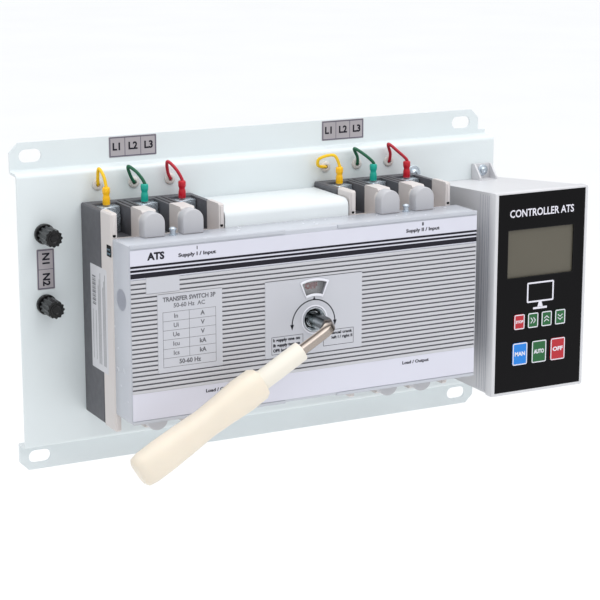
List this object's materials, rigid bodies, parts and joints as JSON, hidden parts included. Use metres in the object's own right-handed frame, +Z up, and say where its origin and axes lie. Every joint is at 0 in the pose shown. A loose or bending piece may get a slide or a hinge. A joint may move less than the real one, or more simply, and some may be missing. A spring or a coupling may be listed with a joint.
{
  "type": "transfer switch",
  "caption": "Wall-mounted changeover switch: breakers side by side under one drive cover, a hand crank, neutral posts and a keypad controller.",
  "frame": {"origin": "centre of the four mounting slots, on the rear face of the plate's flanges", "axes": "+X along the plate towards the controller, +Y into the wall, +Z up"},
  "size_m": [0.4474, 0.1464, 0.254],
  "materials": {
    "white_paint": "satin powder coat",
    "dark_plastic": "moulded",
    "light_plastic": "moulded",
    "grey_plastic": "moulded, ribbed",
    "black_plastic": "moulded",
    "ivory_plastic": "moulded",
    "chrome": "polished",
    "zinc": "zinc plated",
    "steel": "plain",
    "clear_plastic": "clear",
    "lcd_glass": "display glass",
    "circuit_board": "board",
    "lead_yellow": "insulated wire",
    "lead_green": "insulated wire",
    "lead_red": "insulated wire",
    "key_red": "membrane key",
    "key_green": "membrane key",
    "key_blue": "membrane key"
  },
  "bodies": {
    "frame": {"base_plate": "white_paint", "mechanism_bracket": "white_paint", "left_breaker_base": "dark_plastic", "left_breaker_cover": "light_plastic", "left_terminal_top_1": "zinc", "left_terminal_bottom_1": "zinc", "left_lead_1": "lead_yellow", "left_terminal_top_2": "zinc", "left_terminal_bottom_2": "zinc", "left_lead_2": "lead_green", "left_terminal_top_3": "zinc", "left_terminal_bottom_3": "zinc", "left_lead_3": "lead_red", "right_breaker_base": "dark_plastic", "right_breaker_cover": "light_plastic", "right_terminal_top_1": "zinc", "right_terminal_bottom_1": "zinc", "right_lead_1": "lead_yellow", "right_terminal_top_2": "zinc", "right_terminal_bottom_2": "zinc", "right_lead_2": "lead_green", "right_terminal_top_3": "zinc", "right_terminal_bottom_3": "zinc", "right_lead_3": "lead_red", "front_cover": "grey_plastic", "shaft_bush": "chrome", "indicator_window": "clear_plastic", "drive_motor": "steel", "controller_case": "light_plastic", "controller_bezel": "light_plastic", "keypad_panel": "black_plastic", "display": "lcd_glass", "circuit_board": "circuit_board", "upper_post_seat": "black_plastic", "upper_post_stud": "zinc", "lower_post_seat": "black_plastic", "lower_post_stud": "zinc"},
    "drive": {"drive_shaft": "chrome", "drive_gear": "steel", "indicator_disc": "light_plastic"},
    "crank": {"crank_bar": "chrome", "grip_sleeve": "ivory_plastic", "grip": "ivory_plastic"},
    "pinion": {"motor_pinion": "steel"},
    "left_rack": {"left_slide": "steel"},
    "left_handle": {"left_toggle": "black_plastic"},
    "right_rack": {"right_slide": "steel"},
    "right_handle": {"right_toggle": "black_plastic"},
    "button_stop": {"key_stop": "key_red"},
    "button_next": {"key_next": "key_green"},
    "button_up": {"key_up": "key_green"},
    "button_down": {"key_down": "key_green"},
    "button_manual": {"key_manual": "key_blue"},
    "button_auto": {"key_auto": "key_green"},
    "button_off": {"key_off": "key_red"},
    "upper_washer": {"upper_post_washer": "zinc"},
    "upper_knob": {"upper_post_knob": "black_plastic"},
    "lower_washer": {"lower_post_washer": "zinc"},
    "lower_knob": {"lower_post_knob": "black_plastic"}
  },
  "joints": [
    {"name": "drive_turn", "type": "hinge", "parent": "frame", "child": "drive", "pos_m": [-0.0057, -0.094, -0.0061], "axis": [0, 1, 0], "range_deg": [-45, 45]},
    {"name": "crank_pull", "type": "slide", "parent": "drive", "child": "crank", "axis": [0, -1, 0], "range_m": [0, 0.024]},
    {"name": "pinion_turn", "type": "hinge", "parent": "frame", "child": "pinion", "pos_m": [-0.0057, -0.094, 0.0147], "axis": [0, 1, 0], "range_deg": [-102, 102]},
    {"name": "left_rack_move", "type": "slide", "parent": "frame", "child": "left_rack", "axis": [0, 0, 1], "range_m": [-0.0115, 0.0115]},
    {"name": "left_handle_turn", "type": "hinge", "parent": "frame", "child": "left_handle", "pos_m": [-0.11, -0.062, -0.0061], "axis": [1, 0, 0], "range_deg": [-22.5, 22.5]},
    {"name": "right_rack_move", "type": "slide", "parent": "frame", "child": "right_rack", "axis": [0, 0, 1], "range_m": [-0.0115, 0.0115]},
    {"name": "right_handle_turn", "type": "hinge", "parent": "frame", "child": "right_handle", "pos_m": [0.088, -0.062, -0.0061], "axis": [1, 0, 0], "range_deg": [-22.5, 22.5]},
    {"name": "button_stop_press", "type": "slide", "parent": "frame", "child": "button_stop", "axis": [0, 1, 0], "range_m": [0, 0.0008], "stiffness_N_per_m": 600},
    {"name": "button_next_press", "type": "slide", "parent": "frame", "child": "button_next", "axis": [0, 1, 0], "range_m": [0, 0.0008], "stiffness_N_per_m": 600},
    {"name": "button_up_press", "type": "slide", "parent": "frame", "child": "button_up", "axis": [0, 1, 0], "range_m": [0, 0.0008], "stiffness_N_per_m": 600},
    {"name": "button_down_press", "type": "slide", "parent": "frame", "child": "button_down", "axis": [0, 1, 0], "range_m": [0, 0.0008], "stiffness_N_per_m": 600},
    {"name": "button_manual_press", "type": "slide", "parent": "frame", "child": "button_manual", "axis": [0, 1, 0], "range_m": [0, 0.0008], "stiffness_N_per_m": 600},
    {"name": "button_auto_press", "type": "slide", "parent": "frame", "child": "button_auto", "axis": [0, 1, 0], "range_m": [0, 0.0008], "stiffness_N_per_m": 600},
    {"name": "button_off_press", "type": "slide", "parent": "frame", "child": "button_off", "axis": [0, 1, 0], "range_m": [0, 0.0008], "stiffness_N_per_m": 600},
    {"name": "upper_washer_travel", "type": "slide", "parent": "frame", "child": "upper_washer", "axis": [0, -1, 0], "range_m": [0, 0.0014]},
    {"name": "upper_knob_turn", "type": "hinge", "parent": "upper_washer", "child": "upper_knob", "pos_m": [-0.185, -0.021, 0.06], "axis": [0, -1, 0], "range_deg": [0, 720]},
    {"name": "lower_washer_travel", "type": "slide", "parent": "frame", "child": "lower_washer", "axis": [0, -1, 0], "range_m": [0, 0.0014]},
    {"name": "lower_knob_turn", "type": "hinge", "parent": "lower_washer", "child": "lower_knob", "pos_m": [-0.185, -0.021, 0.006], "axis": [0, -1, 0], "range_deg": [0, 720]}
  ],
  "couplings": [
    {"joint": "pinion_turn", "follows": "drive_turn", "ratio": -2.25},
    {"joint": "left_rack_move", "follows": "drive_turn", "m_per_rad": 0.0144},
    {"joint": "left_handle_turn", "follows": "drive_turn", "ratio": -0.49},
    {"joint": "right_rack_move", "follows": "drive_turn", "m_per_rad": -0.0144},
    {"joint": "right_handle_turn", "follows": "drive_turn", "ratio": 0.49},
    {"joint": "upper_knob_turn", "follows": "upper_washer_travel", "rad_per_m": 8976},
    {"joint": "lower_knob_turn", "follows": "lower_washer_travel", "rad_per_m": 8976}
  ]
}
